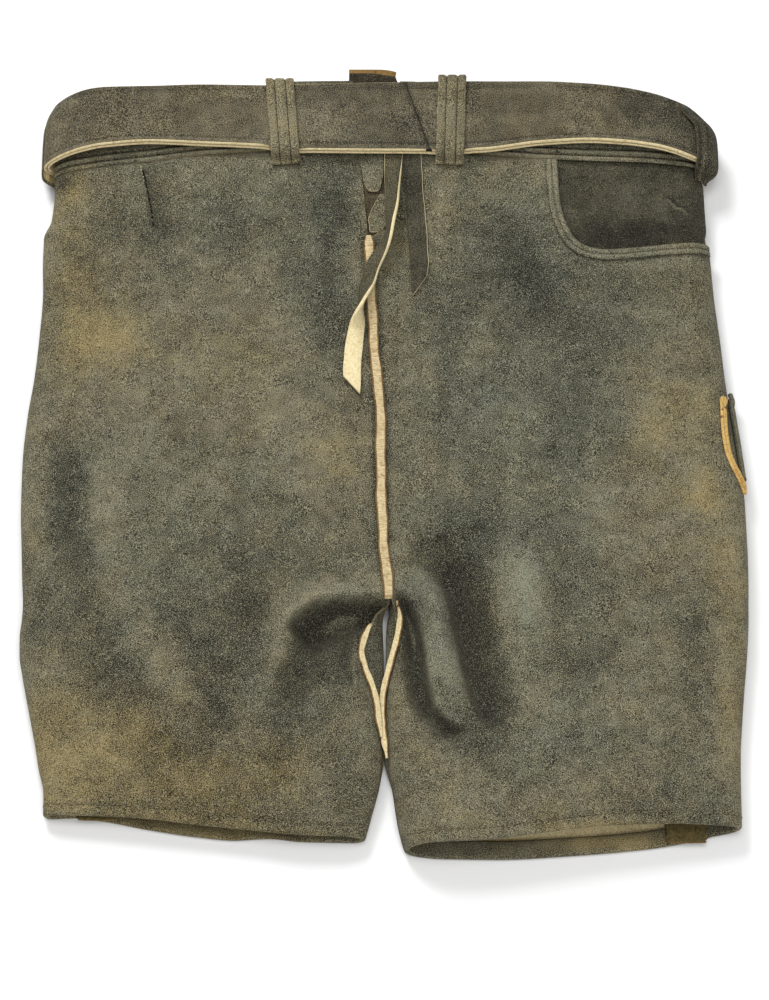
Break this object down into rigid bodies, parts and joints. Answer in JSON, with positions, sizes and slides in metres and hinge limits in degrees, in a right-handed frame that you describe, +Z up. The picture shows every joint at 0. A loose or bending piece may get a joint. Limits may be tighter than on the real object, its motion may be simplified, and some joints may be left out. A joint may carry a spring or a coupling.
{
  "type": "short leather lederhosen with belt",
  "caption": "Short lederhosen of old olive-brown suede, laid flat with the back upwards: welted seams, laced slit, curved hip pocket, slim knife pocket, and a looped belt.",
  "frame": {"origin": "middle of the bounding box's bottom, on the surface that the shorts lie on", "axes": "+X to the wearer's right, +Y from the hems to the waist, +Z up from the surface, out of the wearer's back"},
  "size_m": [0.4925, 0.5825, 0.0435],
  "materials": {
    "suede": "old olive-brown chamois suede, cloudy patina, napped and matt",
    "suede_dark": "dark olive-brown suede, smoother, matt",
    "belt": "grainy olive-brown suede, thick, matt",
    "belt_lining": "undyed cream split leather, raw cut edge",
    "cut_edge": "undyed cream leather, raw and ribbed by stitches",
    "lace": "olive-brown suede face, cream flesh side and edges",
    "welt_yellow": "yellow-ochre leather, worn",
    "old_brass": "dull, aged"
  },
  "bodies": {
    "root": {"back_left": "suede", "back_right": "suede", "front_left": "suede", "front_right": "suede", "waistband_left": "suede", "waistband_right": "suede", "hem_back_left": "suede_dark", "hem_back_right": "suede_dark", "hem_front_left": "suede_dark", "hem_front_right": "suede_dark", "seam_allowance_left": "cut_edge", "seam_allowance_right": "cut_edge", "cb_welt": "cut_edge", "inseam_welt_left": "cut_edge", "inseam_welt_right": "cut_edge", "back_gusset": "suede_dark", "slit_tab": "suede", "slit_corner": "suede", "lace_long": "lace", "lace_short": "lace", "belt_outer_left": "belt", "belt_outer_right": "belt", "belt_lining": "belt_lining", "loop_back_left": "belt", "loop_back_right": "belt", "loop_front_left": "belt", "loop_front_right": "belt", "loop_side_left": "belt", "loop_side_right": "belt", "hip_pocket_facing": "suede_dark", "hip_pocket_edge": "suede", "knife_pocket": "suede", "knife_welt": "welt_yellow", "fly_underlap": "suede_dark", "buckle_frame": "old_brass", "buckle_prong": "old_brass"}
  },
  "joints": []
}
